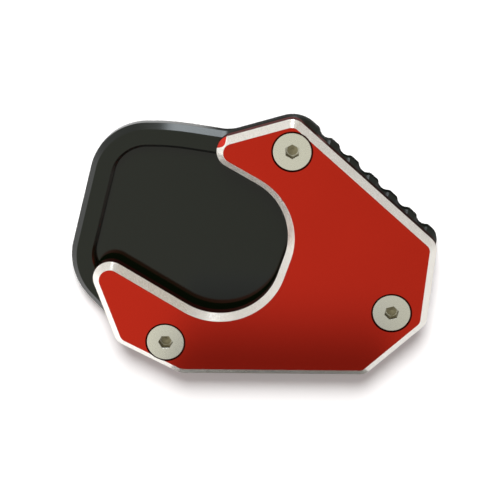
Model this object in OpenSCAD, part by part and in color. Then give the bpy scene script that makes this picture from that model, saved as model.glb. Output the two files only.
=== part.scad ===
// Kickstand foot enlarger: a wide foot that is clamped round the foot of a
// motorbike's side stand so that it doesn't sink into soft ground.
// X runs to the right and Y up as seen from above, Z is up from the ground.
// An edge of an outline is the direction that it faces, in degrees, and its
// distance from the middle. Corners come from where two edges meet.

/* [Thicknesses] */
// Thickness of the lower plate that stands on the ground
base_t = 6.5; // [5:0.1:9]
// Thickness of the upper plate
plate_t = 5.5; // [4.5:0.1:8]
// Depth of the pocket for the stand's foot
pocket_d = 3; // [1:0.1:4]

/* [Chamfers] */
// Chamfer round the upper plate's top, the gap and the tips included
plate_chamfer = 2.2; // [0.5:0.1:3]
// Chamfer round both faces of the lower plate
base_chamfer = 1.8; // [0.5:0.1:2.4]
// Chamfer on the pocket's upper edge
pocket_chamfer = 0.9; // [0.3:0.1:1.5]

/* [Edges that both plates share] */
// Direction of the lower edge
low_dir = -90; // [-95:0.1:-85]
// Distance of the lower edge
low_dist = 42.55; // [38:0.05:50]
// Direction of the lower right edge
low_right_dir = -48; // [-55:0.1:-40]
// Distance of the lower right edge
low_right_dist = 55.8; // [52:0.05:60]
// Direction of the right edge
right_dir = -6.5; // [-12:0.1:0]
// Distance of the right edge
right_dist = 58.15; // [54:0.05:64]
// Direction of the long upper right edge
long_dir = 47.3; // [42:0.1:52]
// Distance of the long upper right edge
long_dist = 41.45; // [38:0.05:46]
// Direction of the upper edge
upper_dir = 105.6; // [100:0.1:110]
// Distance of the upper edge
upper_dist = 37.8; // [35:0.05:42]
// Direction of the lower left edge
low_left_dir = -117.9; // [-125:0.1:-110]
// Distance of the lower left edge
low_left_dist = 48.9; // [46:0.05:54]
// Radius of the corners that both plates share
corner_r = 5; // [3:0.1:7]
// Radius of the corner between the lower and the lower left edge
low_corner_r = 6; // [3:0.1:8]

/* [Edges of the upper plate alone] */
// Direction of the left edge
left_dir = -161.5; // [-168:0.1:-155]
// Distance of the left edge
left_dist = 52.35; // [49:0.05:55]
// Direction in which the gap's upper side lies
gap_upper_dir = 59.3; // [55:0.1:65]
// Distance of the gap's upper side
gap_upper_dist = 19.7; // [15:0.05:23]
// Direction in which the gap's closed end lies
gap_end_dir = -19.7; // [-25:0.1:-15]
// Distance of the gap's closed end
gap_end_dist = 10.4; // [6:0.05:14]
// Direction in which the gap's lower side lies
gap_lower_dir = -122.1; // [-128:0.1:-117]
// Distance of the gap's lower side
gap_lower_dist = 27.05; // [23:0.05:29]
// Radius of the gap's two inner corners
gap_r = 20; // [12:0.5:22]
// Radius of the upper tip
upper_tip_r = 5.3; // [3:0.1:6.5]
// Radius of the lower tip
lower_tip_r = 5.8; // [3:0.1:6.5]
// Direction in which the small facet on the upper tip faces
facet_dir = 140; // [130:1:150]
// How far the facet leans back from upright, in degrees
facet_lean = 33; // [20:1:45]
// Width of the chamfer that the facet leaves
facet_left = 0.6; // [0.3:0.1:1.5]

/* [Edges of the lower plate alone] */
// Direction of the heel edge on the left
heel_dir = 164.7; // [160:0.1:170]
// Distance of the heel edge
heel_dist = 56.35; // [54:0.05:60]
// Direction of the top edge over the pocket
brow_dir = 90.3; // [86:0.1:95]
// Distance of the top edge over the pocket
brow_dist = 40.5; // [39:0.05:43]
// Direction of the top edge where it runs down to the upper tip
dip_dir = 81; // [77:0.1:85]
// Distance of the top edge where it runs down to the upper tip
dip_dist = 35.9; // [34.5:0.05:37]
// Direction of the slanted edge at the lower left
toe_dir = -138.4; // [-145:0.1:-132]
// Distance of the slanted edge at the lower left
toe_dist = 51.95; // [50:0.05:54]
// Radius of the heel's upper corner
heel_r = 19; // [12:0.5:20]
// Radius of the heel's lower corner
toe_r = 20; // [12:0.5:22]
// Radius of the slight bend in the top edge
brow_r = 80; // [50:5:85]
// Radius of the hollow beside the upper tip
dip_r = 12; // [5:0.5:20]
// Radius of the top corner round the screw
top_corner_r = 9.8; // [6:0.1:11]
// Radius of the right corner under the long edge
end_corner_r = 4; // [2.5:0.1:5]
// Radius of the slight bend in the lower left edge
bend_r = 10; // [4:0.5:20]

/* [Notched long edge] */
// How far the notched edge stands out past the upper plate
grip_out = 1.15; // [0.8:0.05:1.6]
// Distance from one notch to the next
grip_pitch = 8.35; // [7.5:0.05:10]
// Width of a notch
grip_w = 5.1; // [4.8:0.05:5.6]
// Angle of a notch's sides to the edge
grip_angle = 38; // [34:1:40]
// Radius at a notch's bottom
grip_r = 3; // [2.5:0.1:3.1]
// Radius of the edges between the notches
grip_edge_r = 1.2; // [0.5:0.1:1.3]
// How far the row of notches sits from the middle of its edge
grip_shift = -0.35; // [-0.8:0.05:0.8]
// Least straight part beside the first and the last notch, both together
grip_end = 1; // [0.5:0.1:2]

/* [Pocket for the stand's foot] */
// Width of the rim beside the pocket
rim_w = 6.7; // [5.5:0.1:8.5]
// How far the pocket runs on under the upper plate past the gap
pocket_lap = 4; // [2:0.1:5]
// How far the pocket runs on under the lower arm
pocket_lap_low = 8.5; // [6:0.1:9]
// Radius of the pocket's inner corners under the upper plate
pocket_r = 22; // [14:0.5:24]
// Radius of the pocket's corner under the lower tip
pocket_tip_r = 10.5; // [8:0.5:11]

/* [Screws] */
// Nominal diameter of the screws
screw_d = 6; // [5:1:6]
// Diameter of a countersunk head
head_d = 12; // [10:0.1:12.5]
// Height of the head's thin cylindrical edge
head_land = 0.4; // [0.2:0.05:0.5]
// Length of a screw, head included
screw_len = 10; // [8:1:11]
// Hex socket, across flats
hex_af = 4; // [3:0.5:5]
// Depth of the hex socket
hex_depth = 2.6; // [1.5:0.1:3]
// Step between the socket's flats and the drilled hollow in its floor
drill_step = 0.3; // [0.1:0.1:0.6]
// How much wider the countersink's mouth is than the head
mouth_play = 1; // [0.8:0.1:1.4]
// Depth of the upright wall at the countersink's mouth
mouth_wall = 1; // [0.8:0.1:1.4]
// Play of the screws in the upper plate's holes
hole_play = 0.6; // [0.2:0.1:0.8]
// Play of the screws in the lower plate's threaded holes
thread_play = 0.06; // [0.02:0.02:0.2]
// Chamfer at the mouth of a threaded hole
thread_chamfer = 0.5; // [0.2:0.1:0.8]
// Top screw's distance from the upper edge
top_screw_upper = 9.8; // [9:0.1:12]
// Top screw's distance from the long edge
top_screw_long = 8.5; // [8:0.1:11]
// Right screw's distance from the right edge
right_screw_right = 11.6; // [9:0.1:14]
// Right screw's distance from the lower right edge
right_screw_low = 10.8; // [9:0.1:14]
// Left screw's distance from the lower left edge
left_screw_slant = 8.15; // [7.5:0.1:10]
// Left screw's distance from the lower edge
left_screw_low = 11.5; // [9:0.1:13]
// How the top screw's socket is turned
top_screw_turn = 30; // [0:1:60]
// How the right screw's socket is turned
right_screw_turn = 15; // [0:1:60]
// How the left screw's socket is turned
left_screw_turn = 0; // [0:1:60]

/* [Underside] */
// Number of grip grooves across the underside
groove_n = 6; // [0:2:6]
// Distance from one groove to the next
groove_pitch = 15; // [14.5:0.1:15.5]
// Width of a groove
groove_w = 2; // [1:0.1:2.4]
// Depth of a groove
groove_d = 0.8; // [0.3:0.1:1.2]

/* [Fineness] */
// Largest gap between a corner's arc and its flats
arc_err = 0.006; // [0.003:0.001:0.05]
// Least radius that a corner keeps where its outline is moved inwards
least_r = 0.05; // [0.02:0.01:0.1]
// Facets round a screw
round_n = 96; // [48:8:128]

/* [Hidden] */
over = 0.5;
total_t = base_t + plate_t;
black = [0.16, 0.165, 0.15];
red = [0.68, 0.14, 0.10];
steel = [0.76, 0.76, 0.72];

low = [low_dir, low_dist];
low_right = [low_right_dir, low_right_dist];
right = [right_dir, right_dist];
long = [long_dir, long_dist];
upper = [upper_dir, upper_dist];
low_left = [low_left_dir, low_left_dist];
left = [left_dir, left_dist];
gap_upper = [gap_upper_dir, gap_upper_dist];
gap_end = [gap_end_dir, gap_end_dist];
gap_lower = [gap_lower_dir, gap_lower_dist];
heel = [heel_dir, heel_dist];
brow = [brow_dir, brow_dist];
dip = [dip_dir, dip_dist];
toe = [toe_dir, toe_dist];
grip = out(long, grip_out);

// An edge moved outwards by a distance, and the same edge facing the other way.
function out(l, d) = [l[0], l[1] + d];
function flip(l) = [l[0] + 180, -l[1]];

// The place where two edges meet, and a corner there with its radius.
function meet(a, b) =
    [a[1] * sin(b[0]) - b[1] * sin(a[0]), b[1] * cos(a[0]) - a[1] * cos(b[0])]
    / sin(b[0] - a[0]);
function corner(a, b, r) = concat(meet(a, b), [r]);

function xy(p) = [p[0], p[1]];
function unit(v) = v / norm(v);
function side(v) = [-v[1], v[0]];
function spin(v, a) = [v[0] * cos(a) - v[1] * sin(a), v[0] * sin(a) + v[1] * cos(a)];

// One rounded corner at b, of an outline moved inwards by d. The number of its
// points doesn't depend on d, so that two such outlines can be joined.
function arc(a, b, c, d) =
    let (
        u = side(unit(xy(b) - xy(a))),
        w = side(unit(xy(c) - xy(b))),
        turn = atan2(u[0] * w[1] - u[1] * w[0], u * w),
        s = sign(turn),
        r = max(b[2] - s * d, least_r),
        n = max(2, ceil(abs(turn) / (2 * acos(1 - arc_err / b[2])))),
        mid = xy(b) + (u + w) / (1 + u * w) * (d + s * r)
    )
    [for (j = [0:n]) mid - s * r * spin(u, turn * j / n)];

function outline(q, d) =
    let (n = len(q))
    [for (i = [0:n - 1]) each arc(q[(i + n - 1) % n], q[i], q[(i + 1) % n], d)];

plate_corners = [
    corner(low_left, low, low_corner_r),
    corner(low, low_right, corner_r),
    corner(low_right, right, corner_r),
    corner(right, long, corner_r),
    corner(long, upper, corner_r),
    corner(upper, flip(gap_upper), upper_tip_r),
    corner(flip(gap_upper), flip(gap_end), gap_r),
    corner(flip(gap_end), flip(gap_lower), gap_r),
    corner(flip(gap_lower), left, lower_tip_r),
    corner(left, low_left, corner_r)
];

// The middle of the upper tip's arc, and how far from it the facet cuts the chamfer.
tip_mid = meet(out(upper, -upper_tip_r), out(flip(gap_upper), -upper_tip_r));
facet_reach = upper_tip_r - plate_chamfer + facet_left;

// The row of notches: as many as the straight part of the edge has room for.
grip_from = meet(right, grip);
grip_to = meet(grip, upper);
grip_along = unit(grip_to - grip_from);
grip_in = side(grip_along);
grip_start = end_corner_r * tan((long_dir - right_dir) / 2);
grip_stop = norm(grip_to - grip_from) - top_corner_r * tan((upper_dir - long_dir) / 2);
grip_n = floor((grip_stop - grip_start - grip_w - grip_end) / grip_pitch) + 1;
grip_mid = (grip_start + grip_stop) / 2 + grip_shift;
notches = [
    for (i = [0:grip_n - 1])
        let (c = grip_from + grip_along * (grip_mid + (i - (grip_n - 1) / 2) * grip_pitch))
        each [
            concat(c - grip_along * grip_w / 2, [grip_edge_r]),
            concat(c + grip_in * grip_w / 2 * tan(grip_angle), [grip_r]),
            concat(c + grip_along * grip_w / 2, [grip_edge_r])
        ]
];

base_corners = concat(
    [
        corner(low_left, low, low_corner_r),
        corner(low, low_right, corner_r),
        corner(low_right, right, corner_r),
        corner(right, grip, end_corner_r)
    ],
    notches,
    [
        corner(grip, upper, top_corner_r),
        corner(upper, dip, dip_r),
        corner(dip, brow, brow_r),
        corner(brow, heel, heel_r),
        corner(heel, toe, toe_r),
        corner(toe, low_left, bend_r)
    ]
);

pocket_upper = out(gap_upper, pocket_lap);
pocket_end = out(gap_end, pocket_lap);
pocket_lower = out(gap_lower, pocket_lap_low);
pocket_heel = out(heel, -rim_w);
pocket_brow = out(brow, -rim_w);
pocket_dip = out(dip, -rim_w);
pocket_corners = [
    corner(pocket_lower, pocket_end, pocket_r),
    corner(pocket_end, pocket_upper, pocket_r),
    corner(pocket_upper, pocket_dip, dip_r),
    corner(pocket_dip, pocket_brow, brow_r - rim_w),
    corner(pocket_brow, pocket_heel, heel_r - rim_w),
    corner(pocket_heel, pocket_lower, pocket_tip_r)
];

// Where each screw goes, and how its socket is turned.
screws = [
    [meet(out(long, -top_screw_long), out(upper, -top_screw_upper)), top_screw_turn],
    [meet(out(low_right, -right_screw_low), out(right, -right_screw_right)), right_screw_turn],
    [meet(out(low_left, -left_screw_slant), out(low, -left_screw_low)), left_screw_turn]
];
mouth_d = head_d + mouth_play;
hole_d = screw_d + hole_play;
thread_d = screw_d + thread_play;
head_z = total_t - mouth_play / 2 + head_land;

// The middle of the whole part is moved to the origin.
all_x = [for (p = concat(outline(base_corners, 0), outline(plate_corners, 0))) p[0]];
all_y = [for (p = concat(outline(base_corners, 0), outline(plate_corners, 0))) p[1]];
middle = [(min(all_x) + max(all_x)) / 2, (min(all_y) + max(all_y)) / 2];

base_plate();
top_plate();
clamp_screws();

// A solid through several outlines. Each level is a height and how far its
// outline is moved inwards.
module stack(q, levels) {
    rings = [for (l = levels) outline(q, l[1])];
    n = len(rings[0]);
    m = len(levels);
    polyhedron(
        points = [for (k = [0:m - 1]) each [for (p = rings[k]) [p[0], p[1], levels[k][0]]]],
        faces = concat(
            [[for (i = [0:n - 1]) i]],
            [[for (i = [n - 1:-1:0]) (m - 1) * n + i]],
            [
                for (k = [0:m - 2], i = [0:n - 1])
                    [k * n + i, k * n + n + i, k * n + n + (i + 1) % n, k * n + (i + 1) % n]
            ]
        )
    );
}

// A flat block that keeps what lies between two heights.
module slab(z0, z1) {
    size = 4 * (heel_dist + right_dist);
    translate([-size / 2, -size / 2, z0])
        cube([size, size, z1 - z0]);
}

// The lower plate's body, with a chamfer round both of its faces.
module base_body() {
    intersection() {
        stack(base_corners, [
            [-over, base_chamfer + over],
            [base_chamfer, 0],
            [base_t - base_chamfer, 0],
            [base_t + over, base_chamfer + over]
        ]);
        slab(0, base_t);
    }
}

// The space that the stand's foot sits in.
module pocket() {
    intersection() {
        stack(pocket_corners, [
            [base_t - pocket_d - over, pocket_chamfer],
            [base_t - pocket_chamfer, pocket_chamfer],
            [base_t + over, -over]
        ]);
        slab(base_t - pocket_d, total_t);
    }
}

module threaded_hole() {
    translate([0, 0, -over])
        cylinder(d = thread_d, h = base_t + 2 * over, $fn = round_n);
    cylinder(d1 = thread_d + 2 * thread_chamfer, d2 = thread_d, h = thread_chamfer, $fn = round_n);
}

module grooves() {
    for (i = [0:1:groove_n - 1])
        translate([(i - (groove_n - 1) / 2) * groove_pitch - groove_w / 2, -2 * low_dist, -over])
            cube([groove_w, 4 * low_dist, groove_d + over]);
}

module base_plate() {
    color(black)
    difference() {
        translate(-middle)
            difference() {
                base_body();
                pocket();
                for (s = screws)
                    translate(s[0])
                        threaded_hole();
            }
        grooves();
    }
}

// A screw's hole: its cone ends in a short upright wall, so that a narrow groove
// is left round the head.
module countersink() {
    cone_h = (mouth_d - hole_d) / 2;
    translate([0, 0, base_t - over])
        cylinder(d = hole_d, h = plate_t + 2 * over, $fn = round_n);
    translate([0, 0, total_t - cone_h])
        cylinder(d1 = hole_d, d2 = mouth_d - 2 * mouth_wall, h = cone_h - mouth_wall, $fn = round_n);
    translate([0, 0, total_t - mouth_wall])
        cylinder(d = mouth_d, h = mouth_wall + over, $fn = round_n);
}

// What the facet takes off the upper tip, down from the middle of the chamfer.
module tip_facet() {
    translate([tip_mid[0], tip_mid[1], total_t - facet_left])
        rotate([0, 0, facet_dir])
        translate([facet_reach, 0, 0])
        rotate([0, -facet_lean, 0])
        translate([0, -upper_tip_r, -plate_t])
        cube([upper_tip_r, 2 * upper_tip_r, 2 * plate_t]);
}

module top_plate() {
    color(red)
    translate(-middle)
        difference() {
            intersection() {
                stack(plate_corners, [
                    [base_t - over, 0],
                    [total_t - plate_chamfer, 0],
                    [total_t + over, plate_chamfer + over]
                ]);
                slab(base_t, total_t);
            }
            for (s = screws)
                translate(s[0])
                    countersink();
            tip_facet();
        }
}

// A countersunk socket screw, standing with its head at the given height.
module screw(turn) {
    cone_h = (head_d - screw_d) / 2;
    tip = screw_d / 12;
    drill_d = hex_af - 2 * drill_step;
    drill_h = drill_d / 4;
    translate([0, 0, head_z])
        difference() {
            union() {
                translate([0, 0, -head_land])
                    cylinder(d = head_d, h = head_land, $fn = round_n);
                translate([0, 0, -head_land - cone_h])
                    cylinder(d1 = screw_d, d2 = head_d, h = cone_h, $fn = round_n);
                translate([0, 0, tip - screw_len])
                    cylinder(d = screw_d, h = screw_len - tip - head_land, $fn = round_n);
                translate([0, 0, -screw_len])
                    cylinder(d1 = screw_d - 2 * tip, d2 = screw_d, h = tip, $fn = round_n);
            }
            translate([0, 0, -hex_depth])
                rotate([0, 0, turn])
                linear_extrude(hex_depth + over)
                circle(d = hex_af / cos(30), $fn = 6);
            translate([0, 0, -hex_depth - drill_h])
                cylinder(d1 = 0, d2 = drill_d, h = drill_h, $fn = round_n);
        }
}

module clamp_screws() {
    color(steel)
    translate(-middle)
        for (s = screws)
            translate(s[0])
                screw(s[1]);
}
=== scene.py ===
"""Kickstand foot enlarger: the pieces that show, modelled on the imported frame."""

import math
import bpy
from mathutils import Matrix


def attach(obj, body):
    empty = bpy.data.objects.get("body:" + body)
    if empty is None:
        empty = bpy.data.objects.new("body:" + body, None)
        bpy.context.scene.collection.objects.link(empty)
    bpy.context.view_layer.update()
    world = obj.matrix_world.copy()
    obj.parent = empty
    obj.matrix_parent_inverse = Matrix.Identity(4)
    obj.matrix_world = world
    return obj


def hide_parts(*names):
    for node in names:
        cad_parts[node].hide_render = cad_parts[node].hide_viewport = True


bl_info = {
    "name": "Kickstand foot enlarger",
    "version": (1, 0, 0),
    "blender": (4, 5, 0),
    "location": "View3D > Sidebar > Foot enlarger",
    "description": "Models the two anodised plates, their screws and the studio",
    "category": "Mesh",
}

import bmesh
import bpy
from bpy.props import FloatProperty, IntProperty, PointerProperty, StringProperty
from bpy.types import Operator, Panel, PropertyGroup
from mathutils import Matrix, Vector

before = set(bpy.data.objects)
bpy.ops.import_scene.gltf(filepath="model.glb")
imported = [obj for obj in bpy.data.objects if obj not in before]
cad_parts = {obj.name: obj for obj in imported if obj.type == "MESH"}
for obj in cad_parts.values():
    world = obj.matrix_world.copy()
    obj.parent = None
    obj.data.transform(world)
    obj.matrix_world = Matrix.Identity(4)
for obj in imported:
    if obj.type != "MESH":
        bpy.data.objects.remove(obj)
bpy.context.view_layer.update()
MM = 0.001

# The edges of the outlines, as in the part's source: the direction that an edge
# faces, in degrees, and its distance from the middle, in millimetres.
LOW = (-90, 42.55)
LOW_RIGHT = (-48, 55.8)
RIGHT = (-6.5, 58.15)
LONG = (47.3, 41.45)
UPPER = (105.6, 37.8)
LOW_LEFT = (-117.9, 48.9)
LEFT = (-161.5, 52.35)
GAP_UPPER = (59.3, 19.7)
GAP_END = (-19.7, 10.4)
GAP_LOWER = (-122.1, 27.05)
HEEL = (164.7, 56.35)
BROW = (90.3, 40.5)
DIP = (81, 35.9)
TOE = (-138.4, 51.95)

# The sizes of the plates, in millimetres and degrees, as in the part's source.
BASE_T = 6.5
TOTAL_T = 12.0
POCKET_Z = 3.5
CORNER_R = 5.0
LOW_CORNER_R = 6.0
GAP_R = 20.0
UPPER_TIP_R = 5.3
LOWER_TIP_R = 5.8
FACET_DIR = 140.0
FACET_LEAN = 33.0
FACET_LEFT = 0.6
HEEL_R = 19.0
TOE_R = 20.0
BROW_R = 80.0
DIP_R = 12.0
BEND_R = 10.0
TOP_CORNER_R = 9.8
END_CORNER_R = 4.0
GRIP_OUT = 1.15
GRIP_PITCH = 8.35
GRIP_W = 5.1
GRIP_ANGLE = 38.0
GRIP_R = 3.0
GRIP_EDGE_R = 1.2
GRIP_SHIFT = -0.35
GRIP_END = 1.0
RIM_W = 6.7
POCKET_LAP = 4.0
POCKET_LAP_LOW = 8.5
POCKET_R = 22.0
POCKET_TIP_R = 10.5
GROOVE_PITCH = 15.0
GROOVE_W = 2.0
GROOVE_D = 0.8

# About the pocket's middle. A face outside the rim faces away from it.
POCKET_MIDDLE = Vector((-22, 2))

# The screws and their holes, in millimetres.
SCREW_D = 6.0
SCREW_LEN = 10.0
HEAD_D = 12.0
HEAD_LAND = 0.4
HEX_AF = 4.0
HEX_DEPTH = 2.6
DRILL_R = 1.7
DRILL_TIP = 0.85
THREAD_PITCH = 1.0
THREAD_DEEP = 0.62
MOUTH_D = 13.0
MOUTH_WALL = 1.0
HOLE_D = 6.6
THREAD_D = 6.06
THREAD_CHAMFER = 0.5
HEAD_TOP = TOTAL_T - (MOUTH_D - HEAD_D) / 2 + HEAD_LAND

# How far a cutter stands clear of what it cuts, and how long a groove's cutter is.
CLEAR = 0.5
GROOVE_LONG = 120.0

# The camera, as measured from the photograph: how far it leans from straight above,
# how far to the side, its turn, and its distance in millimetres. The lens is given
# by its length in pixels of a picture 500 wide.
CAMERA_TILT = 18.21
CAMERA_SIDE = 3.67
CAMERA_ROLL = -0.878
CAMERA_FAR = 540.0
CAMERA_AIM = (-0.5, 0.6)
LENS = 1702 / 500
SENSOR_MM = 36.0

# What metal reflects at each bearing of the room, in degrees: a level and maybe a tint.
ROOM_RING = (
    (-180, 0.92), (-166, 1.5), (-152, 2.9, 1, 0.96, 0.93), (-134, 1.4, 0.82, 0.93, 1),
    (-116, 0.6, 0.8, 0.95, 1), (-90, 0.55), (-30, 0.9), (0, 0.78), (15, 0.7), (38, 0.66),
    (52, 0.42, 1, 0.86, 0.66), (65, 0.6), (78, 0.7), (98, 0.95), (112, 0.72), (125, 0.72),
    (145, 0.8), (165, 0.9), (180, 0.92),
)
CEILING = (0.86, 0.86, 0.76)

# The bright strip: its bearings in degrees, its heights on a unit sphere, its colour
# and its level.
STRIP_TURN = (81, 92)
STRIP_Z = (0.1, 0.305)
STRIP_COLOUR = (0.85, 0.94, 1.0, 1)
STRIP_LEVEL = 8.0

# The soft lamp over the top edge: where it stands and how wide it is, in degrees.
KEY_TOWARD = (0.0, 1.1, 1.0)
KEY_ANGLE = 30.0
AMBIENT_COLOUR = (1, 0.87, 0.83, 1)
WHITE = (1, 1, 1, 1)

# Where metal sees painted shade on the floor, in metres: round a spot just behind the
# long edge, between two radii, and in an oval under the object, given by its scale and shift.
PAINTED_SHADE_SPOT_AT = (0.028, 0.02, 0)
PAINTED_SHADE_SPOT_R = (0.042, 0.05)
PAINTED_SHADE_OVAL_SCALE = (16.1, 23.8, 0)
PAINTED_SHADE_OVAL_SHIFT = (0, 0.14, 0)
FLOOR_SIZE = 6.0

# The glowing card that puts painted shade on the red face and the lower edge by
# reflection: its place, width and top in millimetres, and its levels from its foot,
# at 0, to its top, at 1.
CARD_AT = (5.5, -60.5)
CARD_W = 81.0
CARD_TOP = 146.0
CARD_PAINTED_SHADE_LEVELS = (
    (0.0, 0.0), (0.12, 0.0), (0.2, 0.6), (0.3, 0.7), (0.39, 0.18), (0.46, 0.23),
    (0.56, 0.33), (0.66, 0.45), (0.77, 0.6), (0.89, 0.74), (1.0, 0.86),
)


def out(edge, distance):
    return (edge[0], edge[1] + distance)


def flip(edge):
    return (edge[0] + 180, -edge[1])


def meet(a, b):
    """The place where two edges meet."""
    ta, tb = math.radians(a[0]), math.radians(b[0])
    s = math.sin(tb - ta)
    return Vector((
        (a[1] * math.sin(tb) - b[1] * math.sin(ta)) / s,
        (b[1] * math.cos(ta) - a[1] * math.cos(tb)) / s,
    ))


def corner(a, b, r):
    return (meet(a, b), r)


def plate_corners():
    return [
        corner(LOW_LEFT, LOW, LOW_CORNER_R),
        corner(LOW, LOW_RIGHT, CORNER_R),
        corner(LOW_RIGHT, RIGHT, CORNER_R),
        corner(RIGHT, LONG, CORNER_R),
        corner(LONG, UPPER, CORNER_R),
        corner(UPPER, flip(GAP_UPPER), UPPER_TIP_R),
        corner(flip(GAP_UPPER), flip(GAP_END), GAP_R),
        corner(flip(GAP_END), flip(GAP_LOWER), GAP_R),
        corner(flip(GAP_LOWER), LEFT, LOWER_TIP_R),
        corner(LEFT, LOW_LEFT, CORNER_R),
    ]


def notches():
    """The corners of the notches along the long edge, from the right to the top."""
    grip = out(LONG, GRIP_OUT)
    a, b = meet(RIGHT, grip), meet(grip, UPPER)
    along = (b - a).normalized()
    inward = Vector((-along.y, along.x))
    start = END_CORNER_R * math.tan(math.radians(LONG[0] - RIGHT[0]) / 2)
    stop = (b - a).length - TOP_CORNER_R * math.tan(math.radians(UPPER[0] - LONG[0]) / 2)
    n = math.floor((stop - start - GRIP_W - GRIP_END) / GRIP_PITCH) + 1
    corners = []
    for i in range(n):
        c = a + along * ((start + stop) / 2 + GRIP_SHIFT + (i - (n - 1) / 2) * GRIP_PITCH)
        corners.append((c - along * GRIP_W / 2, GRIP_EDGE_R))
        corners.append((c + inward * GRIP_W / 2 * math.tan(math.radians(GRIP_ANGLE)), GRIP_R))
        corners.append((c + along * GRIP_W / 2, GRIP_EDGE_R))
    return corners


def base_corners():
    grip = out(LONG, GRIP_OUT)
    return [
        corner(LOW_LEFT, LOW, LOW_CORNER_R),
        corner(LOW, LOW_RIGHT, CORNER_R),
        corner(LOW_RIGHT, RIGHT, CORNER_R),
        corner(RIGHT, grip, END_CORNER_R),
        *notches(),
        corner(grip, UPPER, TOP_CORNER_R),
        corner(UPPER, DIP, DIP_R),
        corner(DIP, BROW, BROW_R),
        corner(BROW, HEEL, HEEL_R),
        corner(HEEL, TOE, TOE_R),
        corner(TOE, LOW_LEFT, BEND_R),
    ]


def pocket_corners():
    upper, end = out(GAP_UPPER, POCKET_LAP), out(GAP_END, POCKET_LAP)
    lower = out(GAP_LOWER, POCKET_LAP_LOW)
    heel, brow, dip = out(HEEL, -RIM_W), out(BROW, -RIM_W), out(DIP, -RIM_W)
    return [
        corner(lower, end, POCKET_R),
        corner(end, upper, POCKET_R),
        corner(upper, dip, DIP_R),
        corner(dip, brow, BROW_R - RIM_W),
        corner(brow, heel, HEEL_R - RIM_W),
        corner(heel, lower, POCKET_TIP_R),
    ]


def outline(corners, inset, turn_step=2.5):
    """Points round an outline, moved inwards. Their number doesn't depend on the inset."""
    points = []
    for i, (b, radius) in enumerate(corners):
        a, c = corners[i - 1][0], corners[(i + 1) % len(corners)][0]
        u, w = (b - a).normalized(), (c - b).normalized()
        u, w = Vector((-u.y, u.x)), Vector((-w.y, w.x))
        turn = math.atan2(u.x * w.y - u.y * w.x, u.dot(w))
        s = math.copysign(1, turn)
        r = max(radius - s * inset, 0.05)
        n = max(3, math.ceil(abs(math.degrees(turn)) / turn_step))
        mid = b + (u + w) / (1 + u.dot(w)) * (inset + s * r)
        for j in range(n + 1):
            points.append(mid - s * r * (Matrix.Rotation(turn * j / n, 2) @ u))
    return points


def find_middle():
    points = outline(base_corners(), 0, 1) + outline(plate_corners(), 0, 1)
    xs, ys = [p.x for p in points], [p.y for p in points]
    return Vector(((min(xs) + max(xs)) / 2, (min(ys) + max(ys)) / 2))


MIDDLE = find_middle()
SCREWS = [
    (meet(out(LONG, -8.5), out(UPPER, -9.8)) - MIDDLE, 30),
    (meet(out(LOW_RIGHT, -10.8), out(RIGHT, -11.6)) - MIDDLE, 15),
    (meet(out(LOW_LEFT, -8.15), out(LOW, -11.5)) - MIDDLE, 0),
]


def soften(profile, r, steps=3):
    """Rounds the bends of a profile of (inset, height) points, ends left out."""
    result = []
    for a, b, c in zip(profile, profile[1:], profile[2:]):
        a, b, c = Vector(a), Vector(b), Vector(c)
        u, w = (b - a).normalized(), (c - b).normalized()
        turn = math.atan2(u.x * w.y - u.y * w.x, u.dot(w))
        t = r * math.tan(abs(turn) / 2)
        start, side = b - u * t, Vector((-u.y, u.x)) * math.copysign(r, turn)
        for j in range(steps + 1):
            result.append(start + side - Matrix.Rotation(turn * j / steps, 2) @ side)
    return result


def deselect():
    """Leaves nothing selected, the frame's nodes included."""
    if bpy.context.object and bpy.context.object.mode != "OBJECT":
        bpy.ops.object.mode_set(mode="OBJECT")
    bpy.ops.object.select_all(action="DESELECT")


def pick(obj):
    deselect()
    obj.select_set(True)
    bpy.context.view_layer.objects.active = obj


def raise_rings(name, rings):
    """A filled ring, raised level by level. Each ring is a list of (x, y, z) points."""
    deselect()
    bpy.ops.mesh.primitive_circle_add(vertices=len(rings[0]), fill_type="NGON")
    obj = bpy.context.object
    obj.name = name
    bpy.ops.object.mode_set(mode="EDIT")
    bm = bmesh.from_edit_mesh(obj.data)
    bm.verts.ensure_lookup_table()
    for v, p in zip(bm.verts, rings[0]):
        v.co = p
    bmesh.update_edit_mesh(obj.data)

    def key(p):
        return round(p[0] * 1e8), round(p[1] * 1e8)

    for low, high in zip(rings, rings[1:]):
        bpy.ops.mesh.extrude_region_move()
        bm = bmesh.from_edit_mesh(obj.data)
        place = {key(v.co): v for v in bm.verts if v.select}
        for p, q in zip(low, high):
            place[key(Vector(p))].co = q
        bmesh.update_edit_mesh(obj.data)
    bpy.ops.mesh.select_all(action="SELECT")
    bpy.ops.mesh.normals_make_consistent(inside=False)
    bpy.ops.object.mode_set(mode="OBJECT")
    return obj


def stack(name, corners, profile):
    """A piece whose outline is moved inwards by a profile's inset at each height."""
    rings = []
    for inset, z in profile:
        ring = [p - MIDDLE for p in outline(corners, inset)]
        rings.append([(p.x * MM, p.y * MM, z * MM) for p in ring])
    return raise_rings(name, rings)


def ring(at, radii, z, turn=0.0):
    """Points round an upright axis, one for each radius, from millimetres to metres."""
    angles = [turn + 2 * math.pi * i / len(radii) for i in range(len(radii))]
    return [
        ((at.x + r * math.cos(a)) * MM, (at.y + r * math.sin(a)) * MM, z * MM)
        for r, a in zip(radii, angles)
    ]


def turned(name, at, profile, vertices=96):
    """A round piece on an upright axis, from (radius, height) points in millimetres."""
    return raise_rings(name, [ring(at, [r] * vertices, z) for r, z in profile])


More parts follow.
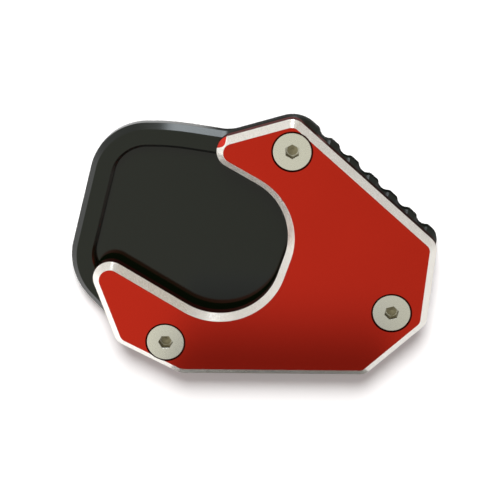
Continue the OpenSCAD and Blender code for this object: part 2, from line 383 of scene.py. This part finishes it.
def block(centre, size, rotation=(0, 0, 0)):
    """A plain block, from sizes in millimetres."""
    deselect()
    bpy.ops.mesh.primitive_cube_add(
        size=1, location=Vector(centre) * MM, rotation=rotation, scale=Vector(size) * MM,
    )
    bpy.ops.object.transform_apply(location=True, rotation=True, scale=True)
    return bpy.context.object


def join(objects):
    pick(objects[0])
    for o in objects[1:]:
        o.select_set(True)
    if len(objects) > 1:
        bpy.ops.object.join()
    return bpy.context.object


def cut(piece, cutter):
    """Cuts one piece with another, which is then deleted."""
    pick(piece)
    bpy.ops.object.modifier_add(type="BOOLEAN")
    modifier = piece.modifiers[-1]
    modifier.operation = "DIFFERENCE"
    modifier.solver = "EXACT"
    modifier.object = cutter
    before = len(piece.data.polygons)
    bpy.ops.object.modifier_apply(modifier=modifier.name)
    if len(piece.data.polygons) == before:
        raise RuntimeError(piece.name + " wasn't cut")
    bpy.data.objects.remove(cutter, do_unlink=True)


def smooth(piece, angle=30):
    """Smooth faces, with normals that lean on the large flat ones."""
    pick(piece)
    bpy.ops.object.shade_smooth_by_angle(angle=math.radians(angle))
    bpy.ops.object.modifier_add(type="WEIGHTED_NORMAL")
    modifier = piece.modifiers[-1]
    modifier.keep_sharp = True
    bpy.ops.object.modifier_apply(modifier=modifier.name)


def in_screw(piece, face, r):
    """Whether a face lies within a radius in millimetres of a screw's axis."""
    corners = [(piece.data.vertices[v].co / MM).xy for v in face.vertices]
    return any(max((p - at).length for p in corners) < r for at, _ in SCREWS)


def rgb(code):
    """An sRGB hex colour as linear red, green, blue and alpha."""
    values = [int(code.lstrip("#")[i:i + 2], 16) / 255 for i in (0, 2, 4)]
    return [v / 12.92 if v <= 0.04045 else ((v + 0.055) / 1.055) ** 2.4 for v in values] + [1]


def add_node(tree, kind, settings=None, inputs=None, links=None):
    """Adds a node, sets it up, and links other nodes' outputs to its inputs."""
    node = tree.nodes.new(kind)
    for key, value in (settings or {}).items():
        setattr(node, key, value)
    for key, value in (inputs or {}).items():
        node.inputs[key].default_value = value
    for key, source in (links or {}).items():
        tree.links.new(source, node.inputs[key])
    return node


def new_material(name):
    material = bpy.data.materials.new(name)
    material.use_nodes = True
    material.node_tree.nodes.clear()
    return material, material.node_tree


def grain(tree, scale_mm, detail=2.0):
    """Noise whose grains are about as wide as scale_mm, in object space."""
    place = add_node(tree, "ShaderNodeTexCoord")
    return add_node(
        tree, "ShaderNodeTexNoise", inputs={"Scale": 0.5 / (scale_mm * MM), "Detail": detail},
        links={"Vector": place.outputs["Object"]},
    )


def fine_skin(name, colour, shader, tone, gloss, relief):
    """A material whose tone, gloss and relief vary with fine noise. Tone is the size of
    its patches in mm and their share, gloss is the size of the grains in mm and the
    least and most roughness, and relief is its strength and its depth in mm."""
    material, tree = new_material(name)
    patch_mm, uneven = tone
    grain_mm, low, high = gloss
    strength, depth_mm = relief
    patches, grains = grain(tree, patch_mm), grain(tree, grain_mm)
    dye = add_node(
        tree, "ShaderNodeMapRange", inputs={"To Min": 1 - uneven, "To Max": 1 + uneven},
        links={"Value": patches.outputs["Fac"]},
    )
    grey = add_node(
        tree, "ShaderNodeCombineColor", links={i: dye.outputs["Result"] for i in range(3)},
    )
    shade = add_node(
        tree, "ShaderNodeMix", {"data_type": "RGBA", "blend_type": "MULTIPLY"},
        {"Factor": 1.0, "A": rgb(colour)}, {"B": grey.outputs["Color"]},
    )
    rough = add_node(
        tree, "ShaderNodeMapRange", inputs={"To Min": low, "To Max": high},
        links={"Value": grains.outputs["Fac"]},
    )
    bump = add_node(
        tree, "ShaderNodeBump", inputs={"Strength": strength, "Distance": depth_mm * MM},
        links={"Height": grains.outputs["Fac"]},
    )
    skin = add_node(
        tree, "ShaderNodeBsdfPrincipled", inputs=shader,
        links={
            "Base Color": shade.outputs["Result"], "Roughness": rough.outputs["Result"],
            "Normal": bump.outputs["Normal"],
        },
    )
    add_node(tree, "ShaderNodeOutputMaterial", links={"Surface": skin.outputs["BSDF"]})
    return material


def black_anodised(name, colour, ior, low, high):
    """Aluminium, anodised black. The dye drinks nearly all the light, so the eye gets
    only the thin sheen of the sealed film: wide and dim where the metal was blasted,
    clearer and stronger where it was milled. The dye took unevenly, in soft patches
    some 9 mm across, and the blasting left a grain of 0.12 mm."""
    shader = {"Metallic": 0.0, "IOR": ior}
    return fine_skin(name, colour, shader, (9.0, 0.1), (0.12, low, high), (0.15, 0.02))


def red_anodised(name, colour, low, high):
    """Aluminium, anodised red. The metal shines through the dyed film, so the eye gets
    a deep red mirror, slightly blurred where it was finely blasted. The screw recesses
    are bored rough, and their darker brown colour is painted shade."""
    shader = {"Metallic": 1.0}
    return fine_skin(name, colour, shader, (9.0, 0.03), (0.12, low, high), (0.15, 0.02))


def steel(name, colour, low, high, speck):
    """Stainless steel: grey and satin where it was tumbled after turning. Inside a socket
    it is rougher, and its darker brownish colour there is painted shade."""
    shader = {"Metallic": 1.0}
    return fine_skin(name, colour, shader, (speck, 0.03), (speck, low, high), (0.08, 0.03))


def bright_cut(colour):
    """Bare aluminium, milled bright after anodising. Fine cutter marks, 0.05 mm apart,
    alternate with polished metal: a clear reflection under a soft whitish haze."""
    material, tree = new_material("bright_cut_aluminium")
    marks = grain(tree, 0.05, 0.0)
    gloss = add_node(
        tree, "ShaderNodeMapRange", {"interpolation_type": "SMOOTHSTEP"},
        {"From Min": 0.4, "From Max": 0.54, "To Min": 0.13, "To Max": 0.75},
        {"Value": marks.outputs["Fac"]},
    )
    wave = grain(tree, 1.5)
    relief = add_node(
        tree, "ShaderNodeBump", inputs={"Strength": 0.02, "Distance": 0.02 * MM},
        links={"Height": wave.outputs["Fac"]},
    )
    skin = add_node(
        tree, "ShaderNodeBsdfPrincipled",
        inputs={"Base Color": rgb(colour), "Metallic": 1.0},
        links={"Roughness": gloss.outputs["Result"], "Normal": relief.outputs["Normal"]},
    )
    add_node(tree, "ShaderNodeOutputMaterial", links={"Surface": skin.outputs["BSDF"]})
    return material


class KickstandSizes(PropertyGroup):
    plate_chamfer: FloatProperty(
        name="Upper plate's chamfer", description="Chamfer round the upper plate, in millimetres",
        default=2.2, min=0.5, max=3.0,
    )
    base_chamfer: FloatProperty(
        name="Lower plate's chamfer", description="Chamfer round the lower plate, in millimetres",
        default=1.8, min=0.5, max=2.4,
    )
    pocket_chamfer: FloatProperty(
        name="Pocket's chamfer", description="Chamfer on the pocket's edge, in millimetres",
        default=0.9, min=0.3, max=1.5,
    )
    edge_r: FloatProperty(
        name="Edge softness", description="Radius on each machined edge, in millimetres",
        default=0.12, min=0.02, max=0.4,
    )
    groove_count: IntProperty(
        name="Grooves", description="Grip grooves across the underside", default=6, min=0, max=6,
    )


class KickstandColours(PropertyGroup):
    black: StringProperty(
        name="Black", description="Lower plate's colour, as an sRGB hex value", default="#060B04",
    )
    red: StringProperty(
        name="Red", description="Upper plate's colour, as an sRGB hex value", default="#BE2C1E",
    )
    aluminium: StringProperty(
        name="Aluminium", description="Bright chamfer's colour, as an sRGB hex value",
        default="#F2EEE8",
    )
    steel: StringProperty(
        name="Steel", description="Screws' colour, as an sRGB hex value", default="#D6D4CA",
    )
    # The recesses' darker brown colour is painted shade.
    recess_painted_shade: StringProperty(
        name="Recess", description="Colour of the screw recesses, as an sRGB hex value",
        default="#551A12",
    )
    # The darker colour inside the sockets is painted shade.
    socket: StringProperty(
        name="Socket", description="Colour inside the sockets, as an sRGB hex value",
        default="#9E977E",
    )


class KickstandStage(PropertyGroup):
    room_strength: FloatProperty(
        name="Room", description="Level of the room that the metal reflects",
        default=1.0, min=0, max=5,
    )
    ambient_strength: FloatProperty(
        name="Soft light", description="Level of the even light from all round",
        default=0.22, min=0, max=5,
    )
    key_strength: FloatProperty(
        name="Key light", description="Strength of the lamp over the top edge",
        default=4.0, min=0, max=5,
    )


class KICKSTAND_OT_base_plate(Operator):
    """Models the black lower plate with its pocket, notched edge and threaded holes"""

    bl_idname = "kickstand.base_plate"
    bl_label = "Lower plate"

    def execute(self, context):
        sizes, colours = context.scene.kickstand_sizes, context.scene.kickstand_colours
        c, p = sizes.base_chamfer, sizes.pocket_chamfer
        piece = stack("base_plate_body", base_corners(), soften(
            [(c + 1, 0), (c, 0), (0, c), (0, BASE_T - c), (c, BASE_T), (c + 1, BASE_T)],
            sizes.edge_r,
        ))
        cut(piece, stack("pocket_cutter", pocket_corners(), soften(
            [
                (p + 2, POCKET_Z), (p, POCKET_Z), (p, BASE_T - p), (0, BASE_T),
                (-CLEAR, BASE_T + CLEAR), (-CLEAR, BASE_T + 2 * CLEAR),
            ],
            sizes.edge_r,
        )))
        r = THREAD_D / 2
        hole = [
            (r + THREAD_CHAMFER + CLEAR, -CLEAR), (r, THREAD_CHAMFER), (r, BASE_T + CLEAR),
        ]
        cut(piece, join([turned("hole_cutter", at, hole) for at, _ in SCREWS]))
        n = sizes.groove_count
        if n:
            cut(piece, join([
                block(
                    ((i - (n - 1) / 2) * GROOVE_PITCH, 0, (GROOVE_D - CLEAR) / 2),
                    (GROOVE_W, GROOVE_LONG, GROOVE_D + CLEAR),
                )
                for i in range(n)
            ]))
        smooth(piece)
        piece.data.materials.clear()
        piece.data.materials.append(black_anodised(
            "black_anodised_blasted_aluminium", colours.black, 1.41, 0.2, 0.29,
        ))
        piece.data.materials.append(black_anodised(
            "black_anodised_milled_aluminium", colours.black, 1.47, 0.11, 0.15,
        ))
        piece.data.materials.append(black_anodised(
            "black_anodised_fine_milled_aluminium", colours.black, 1.41, 0.09, 0.13,
        ))
        # The outer chamfer on the foot's side was milled after blasting, and the
        # pocket's floor with a finer cut, so that it mirrors the wall beside it.
        for face in piece.data.polygons:
            outer = face.normal.xy.dot(face.center.xy - POCKET_MIDDLE * MM) > 0
            if outer and 0.3 < abs(face.normal.z) < 0.9 and face.center.x < 0:
                face.material_index = 1
            if face.normal.z > 0.99 and abs(face.center.z - POCKET_Z * MM) < 0.1 * MM:
                face.material_index = 2
        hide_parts("base_plate")
        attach(piece, "root")
        return {"FINISHED"}


def cut_facet(piece, chamfer):
    """Takes the small facet off the upper tip and returns the way that it faces."""
    r, turn, lean = UPPER_TIP_R, math.radians(FACET_DIR), math.radians(FACET_LEAN)
    mid = meet(out(UPPER, -r), out(flip(GAP_UPPER), -r)) - MIDDLE
    reach = r - chamfer + FACET_LEFT
    normal = Vector((
        math.cos(turn) * math.cos(lean), math.sin(turn) * math.cos(lean), math.sin(lean),
    ))
    edge = Vector((
        mid.x + reach * math.cos(turn), mid.y + reach * math.sin(turn), TOTAL_T - FACET_LEFT,
    ))
    cut(piece, block(edge + normal * r / 2, (r, 2 * r, TOTAL_T), (0, -lean, turn)))
    return normal


class KICKSTAND_OT_top_plate(Operator):
    """Models the red upper plate with its gap, bright chamfer and countersinks"""

    bl_idname = "kickstand.top_plate"
    bl_label = "Upper plate"

    def execute(self, context):
        sizes, colours = context.scene.kickstand_sizes, context.scene.kickstand_colours
        c = sizes.plate_chamfer
        # The bright cut is made last and leaves its edges crisp.
        crisp = 0.04
        piece = stack("top_plate_body", plate_corners(), soften(
            [(1, BASE_T), (0, BASE_T), (0, TOTAL_T - c), (c, TOTAL_T), (c + 1, TOTAL_T)], crisp,
        ))
        hole_r, mouth_r, worn = HOLE_D / 2, MOUTH_D / 2, 0.05
        cone_r, floor_z = mouth_r - MOUTH_WALL, TOTAL_T - MOUTH_WALL
        sink = [
            (hole_r, BASE_T - CLEAR), (hole_r, floor_z - (cone_r - hole_r)), (cone_r, floor_z),
            (mouth_r, floor_z), (mouth_r, TOTAL_T - worn), (mouth_r + 2 * worn, TOTAL_T + worn),
        ]
        cut(piece, join([turned("sink_cutter", at, sink) for at, _ in SCREWS]))
        facet = cut_facet(piece, c)
        smooth(piece)
        piece.data.materials.clear()
        piece.data.materials.append(
            red_anodised("red_anodised_aluminium", colours.red, 0.18, 0.26)
        )
        piece.data.materials.append(bright_cut(colours.aluminium))
        piece.data.materials.append(
            red_anodised("red_anodised_aluminium_painted_recess_shade", colours.recess_painted_shade, 0.45, 0.6)
        )
        # Faces round the screws take the darker red: painted shade in the recesses.
        for face in piece.data.polygons:
            if in_screw(piece, face, mouth_r + 3 * worn):
                face.material_index = 2
            elif 0.65 < face.normal.z < 0.8 and face.normal.dot(facet) < 0.999:
                face.material_index = 1
        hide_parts("top_plate")
        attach(piece, "root")
        return {"FINISHED"}


def screw_rings(at, n=48, steps=56):
    """The rings of a screw: its threaded shank, cone and flat head, from the tip up."""
    low, seat = HEAD_TOP - SCREW_LEN, HEAD_TOP - HEAD_LAND - (HEAD_D - SCREW_D) / 2
    crest_r, head_r, tip, run_out = SCREW_D / 2, HEAD_D / 2, 0.3, 0.5
    root_r = crest_r - THREAD_DEEP
    rings = [ring(at, [root_r - 0.03] * n, low)]
    for k in range(steps + 1):
        z = low + tip + (seat - low - tip - run_out) * k / steps
        # The crest goes once round for each pitch that it rises.
        sides = [abs(2 * ((z / THREAD_PITCH - i / n) % 1.0) - 1) for i in range(n)]
        radii = [min(crest_r - THREAD_DEEP * side, root_r + z - low) for side in sides]
        rings.append(ring(at, radii, z))
    profile = [
        (crest_r - 0.02, seat - 0.3), (crest_r - 0.02, seat),
        (head_r - 0.06, HEAD_TOP - HEAD_LAND - 0.06), (head_r, HEAD_TOP - HEAD_LAND),
        (head_r, HEAD_TOP - 0.12), (head_r - 0.03, HEAD_TOP - 0.04), (head_r - 0.12, HEAD_TOP),
    ]
    return rings + [ring(at, [r] * n, z) for r, z in profile]


class KICKSTAND_OT_screws(Operator):
    """Models the countersunk socket screws"""

    bl_idname = "kickstand.screws"
    bl_label = "Screws"

    def execute(self, context):
        colours = context.scene.kickstand_colours
        pieces = []
        corner_r, floor_z = HEX_AF / 2 / math.cos(math.pi / 6), HEAD_TOP - HEX_DEPTH
        socket = [
            (corner_r, floor_z), (corner_r, HEAD_TOP - 0.12), (corner_r + 0.3, HEAD_TOP + 0.2),
        ]
        drill = [(0.02, floor_z - DRILL_TIP), (DRILL_R, floor_z), (DRILL_R, floor_z + 0.3)]
        for at, turn in SCREWS:
            piece = raise_rings("clamp_screw", screw_rings(at))
            cut(piece, raise_rings("socket_cutter", [
                ring(at, [r] * 6, z, math.radians(turn)) for r, z in socket
            ]))
            cut(piece, turned("drill_cutter", at, drill, 48))
            pieces.append(piece)
        group = join(pieces)
        group.name = "clamp_screw_set"
        smooth(group)
        group.data.materials.clear()
        group.data.materials.append(
            steel("satin_stainless_steel", colours.steel, 0.22, 0.34, 0.35)
        )
        group.data.materials.append(
            steel("socket_steel_painted_shade", colours.socket, 0.4, 0.6, 0.3)
        )
        # The socket's faces, but neither the head's top nor the shank's tip, take the darker
        # steel: painted shade inside the socket.
        for face in group.data.polygons:
            if in_screw(group, face, HEX_AF * 0.6):
                if face.center.z > (TOTAL_T - 5) * MM and face.normal.z < 0.99:
                    face.material_index = 1
        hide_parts("clamp_screws")
        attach(group, "root")
        return {"FINISHED"}


def window(tree, value, low, high, edge):
    """1 where a value lies between two bounds, with soft edges."""
    rise = add_node(
        tree, "ShaderNodeMapRange", {"interpolation_type": "SMOOTHSTEP"},
        {"From Min": low - edge, "From Max": low + edge}, {"Value": value},
    )
    fall = add_node(
        tree, "ShaderNodeMapRange", {"interpolation_type": "SMOOTHSTEP"},
        {"From Min": high - edge, "From Max": high + edge, "To Min": 1.0, "To Max": 0.0},
        {"Value": value},
    )
    both = add_node(
        tree, "ShaderNodeMath", {"operation": "MULTIPLY"},
        links={0: rise.outputs["Result"], 1: fall.outputs["Result"]},
    )
    return both.outputs["Value"]


def paint(ramp, stops):
    """Sets the stops of a colour ramp: a position, a level and maybe a tint."""
    while len(ramp.elements) > 1:
        ramp.elements.remove(ramp.elements[0])
    ramp.elements[0].position = stops[0][0]
    for i, (position, level, *tint) in enumerate(stops):
        stop = ramp.elements[0] if i == 0 else ramp.elements.new(position)
        stop.color = [level * part for part in tint or (1, 1, 1)] + [1]


def room(strength, ambient):
    """The studio as the metal sees it: a pale room whose walls differ a little, and a
    narrow bright strip low over the top edge, which puts the gleam on the corners."""
    world = bpy.data.worlds.new("studio")
    world.use_nodes = True
    tree = world.node_tree
    tree.nodes.clear()
    bpy.context.scene.world = world
    place = add_node(tree, "ShaderNodeTexCoord")
    parts = add_node(tree, "ShaderNodeSeparateXYZ", links={"Vector": place.outputs["Generated"]})
    azimuth = add_node(
        tree, "ShaderNodeMath", {"operation": "ARCTAN2"},
        links={0: parts.outputs["Y"], 1: parts.outputs["X"]},
    )
    around = add_node(
        tree, "ShaderNodeMapRange",
        inputs={"From Min": -math.pi, "From Max": math.pi},
        links={"Value": azimuth.outputs["Value"]},
    )
    walls = add_node(tree, "ShaderNodeValToRGB", links={"Fac": around.outputs["Result"]})
    paint(walls.color_ramp, [((degrees + 180) / 360, *light) for degrees, *light in ROOM_RING])
    height = add_node(
        tree, "ShaderNodeMapRange", {"interpolation_type": "SMOOTHSTEP"},
        {"From Min": 0.5, "From Max": 0.8}, {"Value": parts.outputs["Z"]},
    )
    sideways = add_node(
        tree, "ShaderNodeMapRange",
        inputs={"From Min": -0.3, "From Max": 0.3, "To Min": 1.25, "To Max": 0.6},
        links={"Value": parts.outputs["X"]},
    )
    ceiling = add_node(
        tree, "ShaderNodeVectorMath", {"operation": "SCALE"}, {0: CEILING},
        {"Scale": sideways.outputs["Result"]},
    )
    sky = add_node(
        tree, "ShaderNodeMix", {"data_type": "RGBA"},
        links={
            "Factor": height.outputs["Result"], "A": walls.outputs["Color"],
            "B": ceiling.outputs["Vector"],
        },
    )
    strip = add_node(
        tree, "ShaderNodeMath", {"operation": "MULTIPLY"},
        links={
            0: window(tree, azimuth.outputs["Value"], *map(math.radians, (*STRIP_TURN, 2))),
            1: window(tree, parts.outputs["Z"], *STRIP_Z, 0.03),
        },
    )
    gleam = add_node(
        tree, "ShaderNodeMath", {"operation": "MULTIPLY"}, {1: STRIP_LEVEL},
        {0: strip.outputs["Value"]},
    )
    plain = add_node(
        tree, "ShaderNodeBackground", inputs={"Strength": strength},
        links={"Color": sky.outputs["Result"]},
    )
    bright = add_node(
        tree, "ShaderNodeBackground", inputs={"Color": STRIP_COLOUR},
        links={"Strength": gleam.outputs["Value"]},
    )
    light = add_node(
        tree, "ShaderNodeAddShader",
        links={0: plain.outputs["Background"], 1: bright.outputs["Background"]},
    )
    even = add_node(
        tree, "ShaderNodeBackground", inputs={"Color": AMBIENT_COLOUR, "Strength": ambient},
    )
    white = add_node(tree, "ShaderNodeBackground", inputs={"Color": WHITE})
    path = add_node(tree, "ShaderNodeLightPath")
    lit = add_node(
        tree, "ShaderNodeMixShader",
        links={
            0: path.outputs["Is Glossy Ray"], 1: even.outputs["Background"],
            2: light.outputs["Shader"],
        },
    )
    seen = add_node(
        tree, "ShaderNodeMixShader",
        links={
            0: path.outputs["Is Camera Ray"], 1: lit.outputs["Shader"],
            2: white.outputs["Background"],
        },
    )
    add_node(tree, "ShaderNodeOutputWorld", links={"Surface": seen.outputs["Shader"]})


def paper():
    """Matt white paper. The camera sees it a little lifted, so that it is white all
    round the object but keeps the shadow. Metal sees it as a glow as bright as the room,
    with painted light brighter at the left, and painted shade under the object and just
    behind its long edge."""
    material, tree = new_material("floor_paper")
    path = add_node(tree, "ShaderNodeLightPath")
    matt = add_node(tree, "ShaderNodeBsdfDiffuse", inputs={"Color": rgb("#F2F2F2")})
    shown = add_node(tree, "ShaderNodeBsdfDiffuse", inputs={"Color": WHITE})
    lift = add_node(tree, "ShaderNodeEmission", inputs={"Color": WHITE, "Strength": 0.17})
    lifted = add_node(
        tree, "ShaderNodeAddShader",
        links={0: shown.outputs["BSDF"], 1: lift.outputs["Emission"]},
    )
    place = add_node(tree, "ShaderNodeTexCoord")
    parts = add_node(tree, "ShaderNodeSeparateXYZ", links={"Vector": place.outputs["Object"]})
    # Painted light: for metal the floor glows brighter at the left.
    across = add_node(
        tree, "ShaderNodeMapRange",
        inputs={"From Min": -0.06, "From Max": 0.06, "To Min": 1.4, "To Max": 1.1},
        links={"Value": parts.outputs["X"]},
    )
    # Painted shade for metal: a dim spot just behind the long edge and a dim oval under the
    # object.
    far = add_node(
        tree, "ShaderNodeVectorMath", {"operation": "DISTANCE"}, {1: PAINTED_SHADE_SPOT_AT},
        {0: place.outputs["Object"]},
    )
    shade = add_node(
        tree, "ShaderNodeMapRange", {"interpolation_type": "SMOOTHSTEP"},
        {"From Min": PAINTED_SHADE_SPOT_R[0], "From Max": PAINTED_SHADE_SPOT_R[1], "To Min": 0.15},
        {"Value": far.outputs["Value"]},
    )
    oval = add_node(
        tree, "ShaderNodeVectorMath", {"operation": "MULTIPLY_ADD"},
        {1: PAINTED_SHADE_OVAL_SCALE, 2: PAINTED_SHADE_OVAL_SHIFT}, {0: place.outputs["Object"]},
    )
    size = add_node(
        tree, "ShaderNodeVectorMath", {"operation": "LENGTH"}, links={0: oval.outputs["Vector"]},
    )
    under = add_node(
        tree, "ShaderNodeMapRange", {"interpolation_type": "SMOOTHSTEP"},
        {"From Min": 0.98, "From Max": 1.1, "To Min": 0.2},
        {"Value": size.outputs["Value"]},
    )
    painted_shade_for_metal = add_node(
        tree, "ShaderNodeMath", {"operation": "MULTIPLY"},
        links={0: under.outputs["Result"], 1: shade.outputs["Result"]},
    )
    level = add_node(
        tree, "ShaderNodeMath", {"operation": "MULTIPLY"},
        links={0: across.outputs["Result"], 1: painted_shade_for_metal.outputs["Value"]},
    )
    gleam = add_node(
        tree, "ShaderNodeEmission", inputs={"Color": WHITE},
        links={"Strength": level.outputs["Value"]},
    )
    for_metal = add_node(
        tree, "ShaderNodeMixShader",
        links={
            0: path.outputs["Is Glossy Ray"], 1: matt.outputs["BSDF"],
            2: gleam.outputs["Emission"],
        },
    )
    sheet = add_node(
        tree, "ShaderNodeMixShader",
        links={
            0: path.outputs["Is Camera Ray"], 1: for_metal.outputs["Shader"],
            2: lifted.outputs["Shader"],
        },
    )
    add_node(tree, "ShaderNodeOutputMaterial", links={"Surface": sheet.outputs["Shader"]})
    return material


def painted_shade_card():
    """A glowing card for the metal to reflect, a painted reflection of shade: dark at its
    foot, which lines the lower edge, and with a soft dark band higher up, which puts
    painted shade on the red face towards that edge."""
    material, tree = new_material("painted_shade_card")
    place = add_node(tree, "ShaderNodeTexCoord")
    parts = add_node(tree, "ShaderNodeSeparateXYZ", links={"Vector": place.outputs["Object"]})
    height = add_node(
        tree, "ShaderNodeMapRange", inputs={"From Max": CARD_TOP * MM},
        links={"Value": parts.outputs["Z"]},
    )
    tone = add_node(tree, "ShaderNodeValToRGB", links={"Fac": height.outputs["Result"]})
    paint(tone.color_ramp, CARD_PAINTED_SHADE_LEVELS)
    glow = add_node(tree, "ShaderNodeEmission", links={"Color": tone.outputs["Color"]})
    add_node(tree, "ShaderNodeOutputMaterial", links={"Surface": glow.outputs["Emission"]})
    return material


def lamp(name, toward, energy, angle):
    """A soft lamp far off, kept out of reflections."""
    bpy.ops.object.light_add(type="SUN")
    light = bpy.context.object
    light.name = name
    light.rotation_euler = Vector(toward).to_track_quat("Z", "Y").to_euler()
    light.data.energy = energy
    light.data.angle = math.radians(angle)
    light.visible_glossy = False


class KICKSTAND_OT_stage(Operator):
    """Sets up the floor, the card, the room, the key light and the camera"""

    bl_idname = "kickstand.stage"
    bl_label = "Stage"

    def execute(self, context):
        stage = context.scene.kickstand_stage
        deselect()
        bpy.ops.mesh.primitive_plane_add(size=FLOOR_SIZE, location=(0, 0, 0))
        floor = context.object
        floor.name = "floor"
        floor.visible_shadow = False
        floor.data.materials.append(paper())
        # A glowing card held over the lower edge, which only the metal sees: painted shade in
        # its reflections.
        card = block((*CARD_AT, CARD_TOP / 2), (CARD_W, 1, CARD_TOP))
        card.name = "painted_shade_card"
        card.data.materials.append(painted_shade_card())
        card.visible_camera = False
        card.visible_diffuse = False
        card.visible_shadow = False
        room(stage.room_strength, stage.ambient_strength)
        lamp("key_light", KEY_TOWARD, stage.key_strength, KEY_ANGLE)
        # The camera looks down on the plates, from a little towards the notched side,
        # with +Y up in the picture.
        tilt, side, roll = map(math.radians, (CAMERA_TILT, CAMERA_SIDE, CAMERA_ROLL))
        back = Vector((
            math.sin(side) * math.cos(tilt), math.sin(tilt), math.cos(side) * math.cos(tilt),
        ))
        right = Vector((math.cos(side), 0, -math.sin(side)))
        up = back.cross(right)
        right, up = (
            right * math.cos(roll) + up * math.sin(roll),
            up * math.cos(roll) - right * math.sin(roll),
        )
        target = Vector((*CAMERA_AIM, TOTAL_T)) - Vector((*MIDDLE, 0))
        bpy.ops.object.camera_add()
        camera = context.object
        place = Matrix.Translation((target + back * CAMERA_FAR) * MM)
        camera.matrix_world = place @ Matrix((right, up, back)).transposed().to_4x4()
        camera.data.sensor_width = SENSOR_MM
        camera.data.lens = LENS * SENSOR_MM
        camera.data.clip_start = 0.01
        context.scene.camera = camera
        context.scene.view_settings.view_transform = "Standard"
        return {"FINISHED"}


class KICKSTAND_PT_panel(Panel):
    bl_label = "Foot enlarger"
    bl_idname = "KICKSTAND_PT_panel"
    bl_space_type = "VIEW_3D"
    bl_region_type = "UI"
    bl_category = "Foot enlarger"

    def draw(self, context):
        for group in ("kickstand_sizes", "kickstand_colours", "kickstand_stage"):
            values = getattr(context.scene, group)
            box = self.layout.box()
            for name in values.__annotations__:
                box.prop(values, name)
        for operator in OPERATORS:
            self.layout.operator(operator.bl_idname)


OPERATORS = (
    KICKSTAND_OT_base_plate, KICKSTAND_OT_top_plate, KICKSTAND_OT_screws, KICKSTAND_OT_stage,
)
GROUPS = {
    "kickstand_sizes": KickstandSizes,
    "kickstand_colours": KickstandColours,
    "kickstand_stage": KickstandStage,
}


def register():
    for group in GROUPS.values():
        bpy.utils.register_class(group)
    for operator in OPERATORS:
        bpy.utils.register_class(operator)
    bpy.utils.register_class(KICKSTAND_PT_panel)
    for name, group in GROUPS.items():
        setattr(bpy.types.Scene, name, PointerProperty(type=group))


def unregister():
    for name in GROUPS:
        delattr(bpy.types.Scene, name)
    bpy.utils.unregister_class(KICKSTAND_PT_panel)
    for operator in reversed(OPERATORS):
        bpy.utils.unregister_class(operator)
    for group in reversed(list(GROUPS.values())):
        bpy.utils.unregister_class(group)


def main():
    register()
    bpy.ops.kickstand.base_plate()
    bpy.ops.kickstand.top_plate()
    bpy.ops.kickstand.screws()
    bpy.ops.kickstand.stage()
    deselect()


if __name__ == "__main__":
    main()
